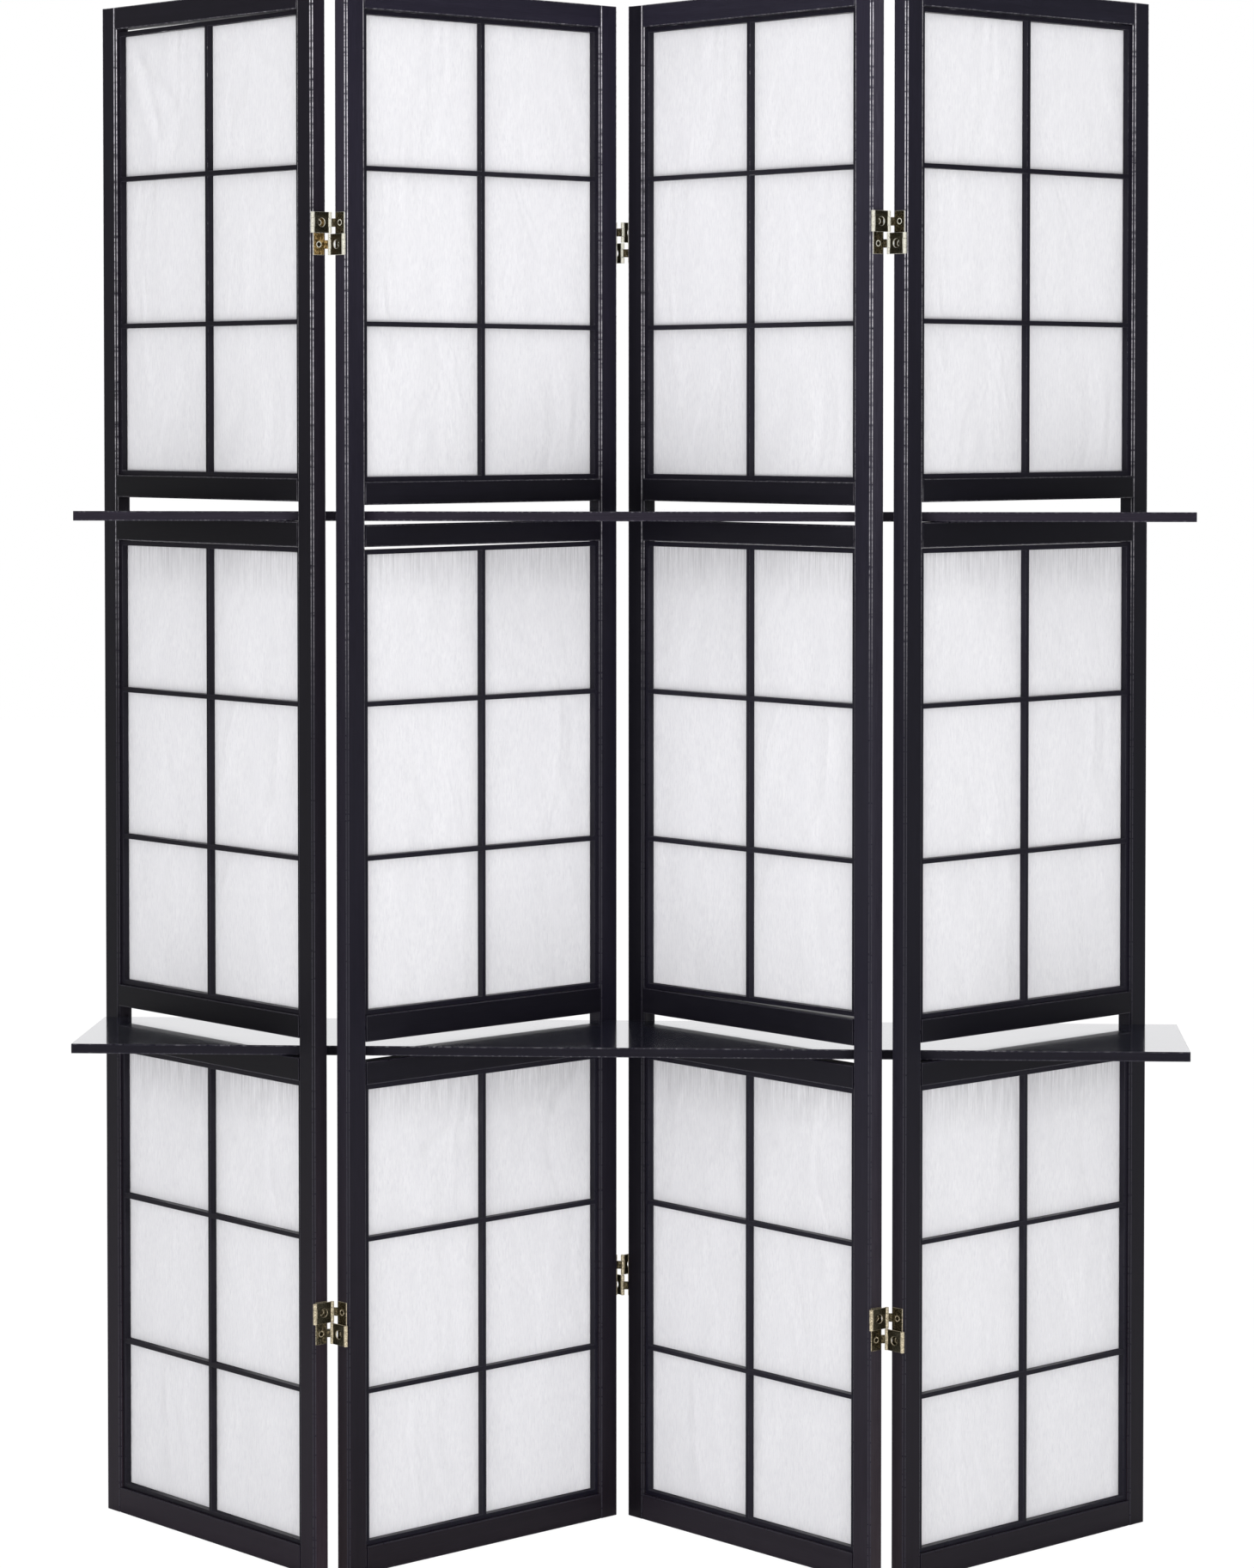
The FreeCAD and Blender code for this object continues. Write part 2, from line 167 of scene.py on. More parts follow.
class Nodes:
    """A short way to write the nodes of a material or of the world."""

    def __init__(self, tree):
        self.tree = tree

    def new(self, kind):
        return self.tree.nodes.new("ShaderNode" + kind)

    def link(self, start, end):
        self.tree.links.new(start, end)

    def part(self, place, axis):
        """One coordinate of a place or a direction."""
        node = self.new("SeparateXYZ")
        self.link(place, node.inputs[0])
        return node.outputs[axis]

    def scaled(self, value, span, result=(0.0, 1.0), smooth=False):
        """A value held within a span and brought to run over the result."""
        node = self.new("MapRange")
        node.interpolation_type = "SMOOTHSTEP" if smooth else "LINEAR"
        node.inputs["From Min"].default_value, node.inputs["From Max"].default_value = span
        node.inputs["To Min"].default_value, node.inputs["To Max"].default_value = result
        self.link(value, node.inputs["Value"])
        return node.outputs["Result"]

    def combined(self, operation, first, second):
        """Two values multiplied or added."""
        node = self.new("Math")
        node.operation = operation
        self.link(first, node.inputs[0])
        self.link(second, node.inputs[1])
        return node.outputs[0]

    def ray(self, kind):
        """Whether a ray is of one kind, such as Camera or Glossy."""
        return self.new("LightPath").outputs["Is %s Ray" % kind]

    def mixed(self, share, first, second):
        """A shader that gives way to a second one by a share."""
        node = self.new("MixShader")
        for given, socket in zip((share, first, second), node.inputs):
            self.link(given, socket)
        return node.outputs[0]

    def finished(self, output, shader):
        """Takes a shader as the surface that the output node shows."""
        self.link(shader, self.tree.nodes[output].inputs["Surface"])


class Surface(Nodes):
    """The nodes of a new material around its Principled shader."""

    def __init__(self, name):
        self.material = bpy.data.materials.new(name)
        self.material.use_nodes = True
        super().__init__(self.material.node_tree)
        self.shader = self.tree.nodes["Principled BSDF"]
        self.place = self.new("TexCoord").outputs["Object"]

    def height(self):
        """The height within the piece's own frame, whose zero is the floor."""
        return self.part(self.place, "Z")

    def stretched(self, scale):
        """The piece's own coordinates, each times a number."""
        node = self.new("Mapping")
        node.inputs["Scale"].default_value = scale
        self.link(self.place, node.inputs["Vector"])
        return node.outputs["Vector"]

    def noise(self, stretch=None, scale=1.0, detail=4.0, roughness=0.55, distortion=0.0):
        """A noise over the piece's own coordinates, stretched where a stretch is given."""
        node = self.new("TexNoise")
        node.inputs["Scale"].default_value = scale
        node.inputs["Detail"].default_value = detail
        node.inputs["Roughness"].default_value = roughness
        node.inputs["Distortion"].default_value = distortion
        self.link(self.stretched(stretch) if stretch else self.place, node.inputs["Vector"])
        return node.outputs["Fac"]

    def ramp(self, value, stops):
        """The colours of the stops, each at its place between 0 and 1."""
        stops = list(stops)
        node = self.new("ValToRGB")
        ramp = node.color_ramp
        while len(ramp.elements) < len(stops):
            ramp.elements.new(0.5)
        for element, (position, colour) in zip(ramp.elements, stops):
            element.position = position
            element.color = (*colour, 1.0)
        self.link(value, node.inputs["Fac"])
        return node.outputs["Color"]

    def blended(self, share, first, second, kind="MIX"):
        """A colour mixed with a second one, or multiplied by it, by a share."""
        node = self.new("Mix")
        node.data_type = "RGBA"
        node.blend_type = kind
        self.link(share, node.inputs["Factor"])
        for value, index in zip((first, second), MIX_COLOURS):
            if isinstance(value, tuple):
                node.inputs[index].default_value = (*value, 1.0)
            else:
                self.link(value, node.inputs[index])
        return node.outputs[MIX_RESULT]

    def raised(self, value, times, added):
        """A value times a number, plus a second value."""
        node = self.new("Math")
        node.operation = "MULTIPLY_ADD"
        self.link(value, node.inputs[0])
        node.inputs[1].default_value = times
        self.link(added, node.inputs[2])
        return node.outputs[0]

    def bump(self, height, strength, distance):
        node = self.new("Bump")
        node.inputs["Strength"].default_value = strength
        node.inputs["Distance"].default_value = distance
        self.link(height, node.inputs["Height"])
        self.link(node.outputs["Normal"], self.shader.inputs["Normal"])

    def fixed(self, **values):
        """Sets numbers on the shader's own sockets."""
        for name, value in values.items():
            self.shader.inputs[name.replace("_", " ")].default_value = value

    def colour(self, value):
        self.link(value, self.shader.inputs["Base Color"])

    def roughness(self, value):
        self.link(value, self.shader.inputs["Roughness"])


# Colours of the lacquer on broad faces, on the stiles' sides, which are painted lighter as if lit, on
# the shelves' tops, and on edges that are worn and carry a painted highlight
LACQUER_DEEP = (0.0055, 0.0045, 0.0100)
LACQUER_LIGHT = (0.0130, 0.0110, 0.0215)
# Painted light: the stiles' sides are a lighter copy of the same lacquer, as if lit
PAINTED_LIT_SIDE_DEEP = (0.0130, 0.0110, 0.0185)
PAINTED_LIT_SIDE_LIGHT = (0.0270, 0.0235, 0.0370)
GLOSS_DEEP = (0.0080, 0.0090, 0.0160)
GLOSS_LIGHT = (0.0260, 0.0290, 0.0480)
LACQUER_WORN_AND_HIGHLIT = (0.66, 0.64, 0.68)

# Grain along x or z, its noises, and the ramp's places that its two colours take
GRAIN = {"x": (1.0, 30.0, 30.0), "z": (30.0, 30.0, 1.0)}
FINE_GRAIN = {"scale": 34.0, "detail": 6.0, "roughness": 0.65}
BROAD_GRAIN = {"scale": 4.0, "detail": 3.0, "distortion": 0.4}
BROAD_SPAN = (0.35, 0.75)
BROAD_SHARE = (0.0, 0.6)
GLOSS_GRAIN = {"scale": 20.0, "detail": 5.0, "roughness": 0.6}
SPRAY_PULL = {"stretch": (0.5, 1.0, 1.0), "scale": 26.0, "detail": 2.0}
GRAIN_STOPS = (0.30, 0.72)

# The span in which most of a noise lies, and spans of roughness
MID_NOISE = (0.3, 0.7)
SATIN = (0.36, 0.50)
SHELF_SATIN = (0.45, 0.60)
RUBBED_SATIN = (0.24, 0.40)
POLISHED = (0.10, 0.20)

# Heights up to which the lacquer is warmer near the floor, and between which painted light makes it
# lighter towards the top
WARM_UP_TO = 0.6
PAINTED_LIGHT_FROM = 1.15
PAINTED_LIGHT_TO = 1.65
HEAD_PAINTED_LIGHT = (1.75, 1.75, 1.70)

# The pattern of the pale edges, which are partly wear and partly a painted highlight, and the heights
# over which the painted highlight grows stronger towards the top
DOTS = {"x": (260.0, 60.0, 60.0), "z": (60.0, 60.0, 260.0)}
RUNS = {"x": (2.2, 55.0, 55.0), "z": (55.0, 55.0, 2.2)}
RUN_SPAN = (0.35, 0.62)
RUN_LEAST = 0.35
EDGE_HIGHLIGHT_FROM = 0.95
RAIL_EDGE_HIGHLIGHT_FROM = 0.5
EDGE_HIGHLIGHT_TO = 1.75

# Paper: its tones as places and colours on a ramp, its noises, and the height of the painted shade
# under each shelf
PAPER_TONES = [(0.28, (0.75, 0.745, 0.775)), (0.55, (0.86, 0.855, 0.873)), (0.8, (0.92, 0.92, 0.922))]
PAPER_CLOUD = (0.81, 0.805, 0.828)
PAPER_PAINTED_SHADE = (0.56, 0.555, 0.57)
FIBRES = {"stretch": (5.0, 1.0, 1.0), "scale": 90.0, "detail": 6.0, "roughness": 0.7, "distortion": 0.6}
CLOUDS = {"stretch": (1.6, 1.0, 1.0), "scale": 22.0, "detail": 4.0, "roughness": 0.6}
CLOUD_SPAN = (0.40, 0.75)
CLOUD_SHARE = (0.0, 0.6)
WAVES = {"stretch": (1.0, 1.0, 0.5), "scale": 15.0, "detail": 2.0, "distortion": 0.8}
WAVE_SHARE = 140
STREAKS = {"stretch": (9.0, 1.0, 0.35), "scale": 60.0, "detail": 3.0, "roughness": 0.6}
STREAK_SPAN = (0.35, 0.68)
STREAK_SHARE = (0.10, 1.0)
PAINTED_SHADE_HEIGHT = 60 * MM

# The brass's mottle, fine or broad, and the span that its roughness follows
MOTTLE = {"detail": 5.0, "roughness": 0.65}
FINE_MOTTLE = 650.0
BROAD_MOTTLE = 420.0
MOTTLE_SPAN = (0.35, 0.7)


def paper_top(section):
    """The mean height of a section's four sheets' top edges."""
    tops = []
    for panel in PANELS:
        corner, _ = sheet_corners(panel, section)
        tops += [corner[(False, True)].z, corner[(True, True)].z]
    return sum(tops) / len(tops)


def lacquer(name, grain, rough=SATIN, deep=LACQUER_DEEP, light=LACQUER_LIGHT, foot=None):
    """Near-black satin lacquer over straight grain that still shows through it.

    foot is what the colour is multiplied by at floor level, fading out towards WARM_UP_TO. Above
    PAINTED_LIGHT_FROM painted light makes the colour lighter, up to HEAD_PAINTED_LIGHT at
    PAINTED_LIGHT_TO.
    """
    nodes = Surface(name)
    fine = nodes.noise(GRAIN[grain], **FINE_GRAIN)
    broad = nodes.noise(GRAIN[grain], **BROAD_GRAIN)
    tone = nodes.ramp(fine, zip(GRAIN_STOPS, (deep, light)))
    tone = nodes.blended(nodes.scaled(broad, BROAD_SPAN, BROAD_SHARE), tone, deep)
    if foot:
        height = nodes.height()
        near_floor = nodes.scaled(height, (0.0, WARM_UP_TO), (1.0, 0.0))
        painted_light_towards_top = nodes.scaled(height, (PAINTED_LIGHT_FROM, PAINTED_LIGHT_TO))
        tone = nodes.blended(near_floor, tone, foot, "MULTIPLY")
        # Painted light: lighter towards the top
        tone = nodes.blended(painted_light_towards_top, tone, HEAD_PAINTED_LIGHT, "MULTIPLY")
    nodes.colour(tone)
    nodes.roughness(nodes.scaled(fine, MID_NOISE, rough))
    nodes.bump(fine, strength=0.25, distance=0.05 * MM)
    nodes.fixed(Specular_IOR_Level=0.22)
    return nodes.material


def worn_and_highlit_edge(name, grain, pale_span=(0.30, 0.62), low=0.03, high=1.9, start=EDGE_HIGHLIGHT_FROM):
    """The same lacquer with pale edges: partly wear, partly a painted highlight that is strongest near
    the top.

    worn is the span of the noise over which the pale colour comes through. low and high are the
    strengths of the wear and painted highlight at the height start and at EDGE_HIGHLIGHT_TO.
    """
    nodes = Surface(name)
    dots = nodes.noise(DOTS[grain], detail=3.0)
    runs = nodes.noise(RUNS[grain], detail=2.0)
    reach = nodes.scaled(nodes.height(), (start, EDGE_HIGHLIGHT_TO), (low, high))
    along_run = nodes.scaled(runs, RUN_SPAN, (RUN_LEAST, 1.0))
    strength = nodes.combined("MULTIPLY", along_run, reach)
    share = nodes.combined("MULTIPLY", nodes.scaled(dots, pale_span), strength)
    # Pale edges of wear and painted highlight
    nodes.colour(nodes.blended(share, LACQUER_LIGHT, LACQUER_WORN_AND_HIGHLIT))
    nodes.roughness(nodes.scaled(dots, MID_NOISE, RUBBED_SATIN))
    return nodes.material


def gloss_lacquer(name):
    """The shelves' polished top, with the slight pull of a sprayed coat."""
    nodes = Surface(name)
    fine = nodes.noise(GRAIN["x"], **GLOSS_GRAIN)
    pull = nodes.noise(**SPRAY_PULL)
    nodes.colour(nodes.ramp(fine, zip(GRAIN_STOPS, (GLOSS_DEEP, GLOSS_LIGHT))))
    nodes.roughness(nodes.scaled(fine, MID_NOISE, POLISHED))
    nodes.bump(pull, strength=0.12, distance=0.05 * MM)
    nodes.fixed(Coat_Weight=1.0, Coat_Roughness=0.03)
    return nodes.material


def paper_material(name, painted_shade_from=None):
    """White paper with long fibres, a faint cloudiness and a slight wave.

    painted_shade_from is the height above which painted shade, in fine grey streaks, gathers towards a
    section's top under a shelf.
    """
    nodes = Surface(name)
    fibres = nodes.noise(**FIBRES)
    clouds = nodes.scaled(nodes.noise(**CLOUDS), CLOUD_SPAN, CLOUD_SHARE)
    waves = nodes.noise(**WAVES)
    tone = nodes.blended(clouds, nodes.ramp(fibres, PAPER_TONES), PAPER_CLOUD)
    if painted_shade_from:
        streaks = nodes.scaled(nodes.noise(**STREAKS), STREAK_SPAN, STREAK_SHARE)
        near_top = nodes.scaled(nodes.height(), (painted_shade_from, painted_shade_from + PAINTED_SHADE_HEIGHT))
        # Painted shade under the shelf, in grey streaks
        tone = nodes.blended(nodes.combined("MULTIPLY", near_top, streaks), tone, PAPER_PAINTED_SHADE)
    nodes.colour(tone)
    nodes.bump(nodes.raised(waves, WAVE_SHARE, fibres), strength=0.4, distance=0.06 * MM)
    nodes.fixed(Roughness=0.86, Specular_IOR_Level=0.25)
    return nodes.material


def antique_brass(name, stops, rough, metal=1.0, upper=None, scale=FINE_MOTTLE):
    """Brass darkened in the hollows and rubbed bright where the stain broke.

    stops are a ramp's places and colours, and upper those of the upper hinges where they differ, with
    more painted highlight and reflection.
    """
    nodes = Surface(name)
    mottle = nodes.noise(scale=scale, **MOTTLE)
    tone = nodes.ramp(mottle, stops)
    if upper:
        share = nodes.scaled(nodes.height(), BETWEEN_HINGES)
        tone = nodes.blended(share, tone, nodes.ramp(mottle, upper))
    nodes.colour(tone)
    nodes.roughness(nodes.scaled(mottle, MOTTLE_SPAN, rough))
    nodes.bump(mottle, strength=0.25, distance=0.04 * MM)
    nodes.fixed(Metallic=metal)
    return nodes.material


def tinted(name, tint, grain, deep=LACQUER_DEEP, light=LACQUER_LIGHT, rough=SATIN, foot=None):
    """The lacquer of one panel or shelf, with a tint that paints light and shade onto it."""
    deep = tuple(level * part for level, part in zip(deep, tint))
    light = tuple(level * part for level, part in zip(light, tint))
    return lacquer(name, grain, rough, deep, light, foot)


def panel_tinted(panel, name, grain, deep=LACQUER_DEEP, light=LACQUER_LIGHT, share=1.0):
    """The lacquer of a panel's stiles or rails, with a share of its painted light and shade."""
    tint = tuple(part * share for part in PANEL_PAINTED_LIGHT[panel])
    return tinted("panel_%d_%s" % (panel, name), tint, grain, deep, light, foot=FOOT_TINT[panel])


def stile_wood(panel, side):
    """The materials of a stile's broad faces, of its small edges and of its two sides, whose lacquer is
    painted lighter as if lit.
    """
    share = STILE_PAINTED_LIGHT_SHARE.get((panel, side), 1.0)
    return [panel_tinted(panel, side + "_stile_lacquer", "z", share=share), STILE_EDGE,
            panel_tinted(panel, side + "_side_lacquer", "z", PAINTED_LIT_SIDE_DEEP, PAINTED_LIT_SIDE_LIGHT, share)]


# Tints of the lacquer by panel or shelf and shares of them for single stiles and the rails at slots,
# which paint light and shade; the foot tints make it warmer near the floor
PANEL_PAINTED_LIGHT = {1: (0.50, 0.46, 0.46), 2: (1.10, 1.13, 1.05),
              3: (1.22, 1.27, 1.14), 4: (0.78, 0.83, 0.80)}
FOOT_TINT = {1: (3.70, 3.20, 2.60), 2: (1.25, 1.05, 0.82),
             3: (1.60, 1.40, 1.12), 4: (1.70, 1.42, 1.12)}
# Painted light and shade on each panel's lattice
LATTICE_PAINTED_LIGHT = {1: (0.75, 0.71, 0.68), 2: (0.92, 0.95, 0.90),
                3: (0.98, 1.02, 0.96), 4: (0.92, 0.95, 0.92)}
# Painted light: the upper shelf much lighter than the lower
SHELF_PAINTED_LIGHT = {"upper_shelf": (1.90, 1.75, 1.55), "lower_shelf": (0.80, 0.80, 0.80)}
# Painted light and shade on single stiles: the third panel's left stile darker, as in its neighbours'
# shade
STILE_PAINTED_LIGHT_SHARE = {(3, "left"): 0.45, (3, "right"): 1.2, (4, "right"): 0.8}
# Painted shade on the rails at the slots, under the shelves
SLOT_RAIL_PAINTED_SHADE = 0.6

SIDES = ("left", "right")
# Pale edges: wear, and a painted highlight that is strongest near the top
STILE_EDGE = worn_and_highlit_edge("stile_edge", "z")
RAIL_EDGE = worn_and_highlit_edge("rail_edge", "x", pale_span=(0.44, 0.80), low=0.0, high=0.9, start=RAIL_EDGE_HIGHLIGHT_FROM)
LATTICE_EDGE = worn_and_highlit_edge("lattice_edge", "z", pale_span=(0.58, 0.95))
STILE_WOOD = {(panel, side): stile_wood(panel, side) for panel in PANELS for side in SIDES}
RAIL_WOOD = {panel: [panel_tinted(panel, "rail_lacquer", "x"), RAIL_EDGE] for panel in PANELS}
SLOT_RAIL_WOOD = {
    panel: [panel_tinted(panel, "slot_rail_lacquer", "x", share=SLOT_RAIL_PAINTED_SHADE), RAIL_EDGE]
    for panel in PANELS}
LATTICE_WOOD = {panel: [tinted("panel_%d_lattice_lacquer" % panel, tint, "z"), LATTICE_EDGE]
                for panel, tint in LATTICE_PAINTED_LIGHT.items()}
# The shelves' edges: wear, and a painted highlight along them
SHELF_EDGE = worn_and_highlit_edge("shelf_edge", "x", pale_span=(0.50, 0.85), low=0.5, high=0.6)
SHELF_GLOSS = gloss_lacquer("shelf_gloss")
SHELF_WOOD = {shelf: [tinted(shelf + "_lacquer", tint, "x", rough=SHELF_SATIN), SHELF_EDGE, SHELF_GLOSS]
              for shelf, tint in SHELF_PAINTED_LIGHT.items()}

PAPER = {"top": paper_material("white_paper"),
         "middle": paper_material("middle_white_paper", paper_top("middle") - PAINTED_SHADE_HEIGHT),
         "bottom": paper_material("bottom_white_paper", paper_top("bottom") - PAINTED_SHADE_HEIGHT)}

# The heights between the hinges where the brass changes, and its colours as places and colours on a
# ramp: stains and wear, with a painted highlight on eased edges and a painted reflection in the gold
BETWEEN_HINGES = (0.8, 1.2)
DARK_STAIN = [(0.45, (0.045, 0.040, 0.027)), (0.66, (0.34, 0.27, 0.15))]
GOLD_WEAR_AND_PAINTED_REFLECTION = [(0.38, (0.075, 0.045, 0.016)), (0.52, (0.30, 0.19, 0.06)), (0.66, (0.95, 0.66, 0.28))]
TAN_EDGE = [(0.34, (0.22, 0.18, 0.10)), (0.60, (0.80, 0.70, 0.50))]
PALE_EDGE = [(0.25, (0.52, 0.50, 0.39)), (0.50, (0.86, 0.84, 0.72))]
PLATE_STAIN = [(0.38, (0.040, 0.037, 0.026)), (0.66, (0.15, 0.135, 0.090))]
SCREW_STAIN = [(0.38, (0.030, 0.024, 0.016)), (0.66, (0.20, 0.16, 0.10))]
STEEL_STAIN = [(0.38, (0.22, 0.20, 0.16)), (0.66, (0.50, 0.47, 0.40))]
PLATE_BRASS = antique_brass("plate_brass", PLATE_STAIN, rough=(0.34, 0.48))
LEAF_BRASS = antique_brass("leaf_brass", DARK_STAIN, rough=(0.30, 0.46))
# The first panel's leaves: dark stain below, and on the upper hinge the gold of worn brass with a
# painted reflection
WORN_AND_LIT_GOLD_BRASS = antique_brass("part_worn_and_lit_gold_brass", DARK_STAIN, rough=(0.30, 0.46), metal=0.75,
                           upper=GOLD_WEAR_AND_PAINTED_REFLECTION, scale=BROAD_MOTTLE)
# Painted highlight with wear: the eased edges of leaves, links and screw heads are pale, palest on the
# upper hinges
EDGE_BRASS = antique_brass("edge_brass", TAN_EDGE, rough=(0.26, 0.38), metal=0.35, upper=PALE_EDGE)
SCREW_BRASS = antique_brass("screw_brass", SCREW_STAIN, rough=(0.26, 0.38))
PIN_STEEL = antique_brass("pin_steel", STEEL_STAIN, rough=(0.28, 0.38))


# Pieces

def in_scene(name, data):
    """A new object, added to the scene."""
    piece = bpy.data.objects.new(name, data)
    bpy.context.scene.collection.objects.link(piece)
    return piece


def mesh_of(name, work):
    """The mesh of finished work, which is freed."""
    mesh = bpy.data.meshes.new(name)
    work.to_mesh(mesh)
    work.free()
    return mesh


def faces_smooth(mesh):
    """Shades every face of a mesh smoothly."""
    for polygon in mesh.polygons:
        polygon.use_smooth = True


def placed(name, mesh, place, materials, body, nodes):
    """A finished piece that stands for its CAD nodes."""
    for material in materials:
        mesh.materials.append(material)
    piece = in_scene(name, mesh)
    piece.matrix_world = place
    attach(piece, body)
    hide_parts(*nodes)
    return piece


# Wood

def square_backed(work):
    """Squares a stile's two back corners, since only its front ones are cut."""
    ends = [pick(vertex.co.x for vertex in work.verts) for pick in (min, max)]
    for vertex in work.verts:
        if vertex.co.y < PANEL_THICKNESS - STILE_CHAMFER - WELD:
            continue
        vertex.co.y = PANEL_THICKNESS
        for end in ends:
            if abs(vertex.co.x - end) < STILE_CHAMFER + WELD:
                vertex.co.x = end


def eased(node, place, ease, hidden_depth, square_back=False):
    """A node's solids with small rounded edges, which take the second material.

    Edges that lie within hidden_depth of the middle of the thickness belong to joints and screw
    holes inside the wood and stay as they are.
    """
    work = bmesh.new()
    work.from_mesh(frame["nodes"][node].data)
    work.transform(place.inverted())
    if square_back:
        square_backed(work)
    bmesh.ops.remove_doubles(work, verts=work.verts, dist=WELD)
    bmesh.ops.dissolve_limit(work, angle_limit=FLAT_WITHIN, verts=work.verts, edges=work.edges)
    for face in work.faces:
        face.material_index = BROAD_FACES
    middle = PANEL_THICKNESS / 2
    corners = [edge for edge in work.edges
               if edge.is_manifold and edge.calc_face_angle_signed() > SHARPER_THAN
               and min(abs(vertex.co.y - middle) for vertex in edge.verts) > hidden_depth]
    bmesh.ops.bevel(work, geom=corners, offset=ease, offset_type="OFFSET", segments=EASE_STEPS,
                    profile=EASE_PROFILE, affect="EDGES", clamp_overlap=True, material=SMALL_EDGES)
    return work


def weighted(piece):
    """Keeps the broad faces flat and the small edges round in the shading."""
    faces_smooth(piece.data)
    shading = piece.modifiers.new("shading", "WEIGHTED_NORMAL")
    shading.keep_sharp = False
    shading.weight = BROAD_FACES_FIRST


def wood(node, place, ease, materials, body, hidden_depth=ALL_EDGES, third=None,
         square_back=False):
    """One wooden node, whose broad faces that pass the test called third take the third material."""
    work = eased(node, place, ease, hidden_depth, square_back)
    for face in work.faces:
        if third and face.material_index == BROAD_FACES and third(face.normal):
            face.material_index = PICKED_FACES
    piece = placed(node + "_wood", mesh_of(node + "_look", work), place, materials, body, [node])
    weighted(piece)


def panel_wood(panel):
    """A panel's stiles, rails and lattices."""
    prefix = "panel_%d_" % panel
    body = "panel_%d" % panel
    place = PANEL_PLACE[panel]
    for side in SIDES:
        wood(prefix + side + "_stile", place, STILE_EASE, STILE_WOOD[(panel, side)], body,
             JOINT_DEPTH, lambda normal: abs(normal.x) > SQUARE_ON, square_back=True)
    for rail, materials in (("top_rail", RAIL_WOOD), ("bottom_rail", RAIL_WOOD),
                            ("shelf_rails", SLOT_RAIL_WOOD)):
        wood(prefix + rail, place, RAIL_EASE, materials[panel], body, JOINT_DEPTH)
    for section in SECTIONS:
        wood(prefix + "lattice_" + section, place, LATTICE_EASE, LATTICE_WOOD[panel], body)


# Paper

PAPER_STEP = 6 * MM
PAPER_THICKNESS = 0.3 * MM
PAPER_STANDS_OFF = 0.1 * MM
BULGE = 0.7 * MM
CELL_FULLNESS = 0.5
SEEDS_PER_PANEL = 10
SWELL_WAVES = 5
WAVES_ACROSS = (0.6, 2.4)
WAVES_UP = (0.6, 3.2)
CREASE_WIDTH = 7.5 * MM
LATTICE_COLUMNS = 2
LATTICE_ROWS = 3

# Soft creases by panel and section, as runs between two points in shares of the sheet's width and
# height, each with its own height in mm
CREASES = {
    (1, "top"): [((0.04, 0.95), (0.28, 0.83), 3.0), ((0.05, 0.99), (0.20, 0.77), 2.2),
                 ((0.60, 0.975), (0.93, 0.84), 2.4), ((0.52, 0.03), (0.60, 0.10), 0.8)],
    (2, "top"): [((0.04, 0.06), (0.16, 0.02), 0.9), ((0.85, 0.04), (0.95, 0.12), 0.8)],
    (2, "bottom"): [((0.97, 0.99), (0.84, 0.90), 2.6), ((0.86, 0.99), (0.98, 0.93), 1.6),
                    ((0.66, 0.96), (0.28, 0.84), 2.4)],
    (4, "bottom"): [((0.70, 0.96), (0.90, 0.90), 0.8)],
}


def distance_to_run(x, z, start, end):
    """How far points lie from a straight run, all in the same units."""
    ax, az = start
    dx, dz = end[0] - ax, end[1] - az
    share = np.clip(((x - ax) * dx + (z - az) * dz) / (dx * dx + dz * dz), 0, 1)
    return np.hypot(x - ax - share * dx, z - az - share * dz)


def paper_sheet(panel, section):
    """A sheet stretched on the back of its lattice, slack by a little between the bars."""
    corner, front = sheet_corners(panel, section)
    left, right = corner[(False, False)].x, corner[(True, False)].x
    width = right - left
    height = corner[(False, True)].z - corner[(False, False)].z
    columns = round(width / PAPER_STEP)
    rows = round(height / PAPER_STEP)
    u, v = np.meshgrid(np.linspace(0, 1, columns + 1), np.linspace(0, 1, rows + 1))
    low = corner[(False, False)].z * (1 - u) + corner[(True, False)].z * u
    high = corner[(False, True)].z * (1 - u) + corner[(True, True)].z * u
    x = left + width * u
    z = low + (high - low) * v
    rng = np.random.default_rng(SEEDS_PER_PANEL * panel + SECTIONS.index(section))
    cell = np.abs(np.sin(math.pi * u * LATTICE_COLUMNS) * np.sin(math.pi * v * LATTICE_ROWS))
    cell = cell ** CELL_FULLNESS
    swell = np.zeros_like(u)
    for wave in range(SWELL_WAVES):
        fx, fz = rng.uniform(*WAVES_ACROSS), rng.uniform(*WAVES_UP)
        phase, slant = rng.uniform(0, 2 * math.pi, 2)
        across = np.sin(2 * math.pi * fx * u + phase)
        swell += across * np.sin(2 * math.pi * fz * v + slant) / (1 + wave)
    y = BULGE * cell * swell / 2
    for start, end, tall in CREASES.get((panel, section), []):
        start_m = (start[0] * width, start[1] * height)
        end_m = (end[0] * width, end[1] * height)
        away = distance_to_run(u * width, v * height, start_m, end_m)
        y += tall * MM * cell * np.exp(-(away / CREASE_WIDTH) ** 2)
    depth = front + PAPER_THICKNESS / 2 + PAPER_STANDS_OFF + y
    vertices = np.stack([x, depth, z], -1).reshape(-1, 3)
    wide = columns + 1
    faces = [(r * wide + c, r * wide + c + 1, (r + 1) * wide + c + 1, (r + 1) * wide + c)
             for r in range(rows) for c in range(columns)]
    mesh = bpy.data.meshes.new("paper_look")
    mesh.from_pydata(vertices.tolist(), [], faces)
    faces_smooth(mesh)
    piece = placed("panel_%d_paper_%s" % (panel, section), mesh, PANEL_PLACE[panel], [PAPER[section]],
                   "panel_%d" % panel, ["panel_%d_paper" % panel])
    solid = piece.modifiers.new("thickness", "SOLIDIFY")
    solid.thickness = PAPER_THICKNESS
    solid.offset = 0


# Hinges, in the frame of a stile's edge and of a hinge's own middle height

